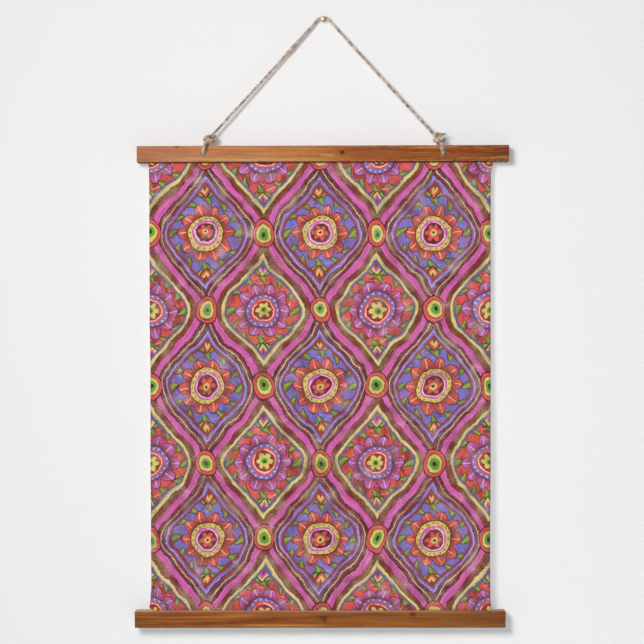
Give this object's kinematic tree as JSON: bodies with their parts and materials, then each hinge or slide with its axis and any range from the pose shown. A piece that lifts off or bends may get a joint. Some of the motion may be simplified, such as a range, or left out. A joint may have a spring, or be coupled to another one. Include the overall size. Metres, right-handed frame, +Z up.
{
  "type": "tapestry wall hanging with wooden bars, rope and hanging nail",
  "caption": "Printed cloth wall hanging clamped between slatted wooden top and bottom bars, hung by a knotted jute rope over a brass-headed wall nail.",
  "frame": {"origin": "where the nail's axis meets the wall", "axes": "+Z up, +Y into the wall, +X to the right seen from the front; the printed side faces -Y"},
  "size_m": [0.7173, 0.0329, 1.1757],
  "materials": {
    "printed_cloth": "matt cotton canvas, printed in many colours",
    "top_bar_wood": "oiled softwood, tan to deep brown along its length",
    "bottom_bar_wood": "oiled softwood, medium brown with darker sweeping grain",
    "jute_rope": "rough twisted jute",
    "brass_nail": "polished"
  },
  "bodies": {
    "root": {"cloth": "printed_cloth", "top_front_slat": "top_bar_wood", "top_back_slat": "top_bar_wood", "bottom_front_slat": "bottom_bar_wood", "bottom_back_slat": "bottom_bar_wood", "rope": "jute_rope", "knot_left": "jute_rope", "knot_right": "jute_rope", "nail": "brass_nail"}
  },
  "joints": []
}
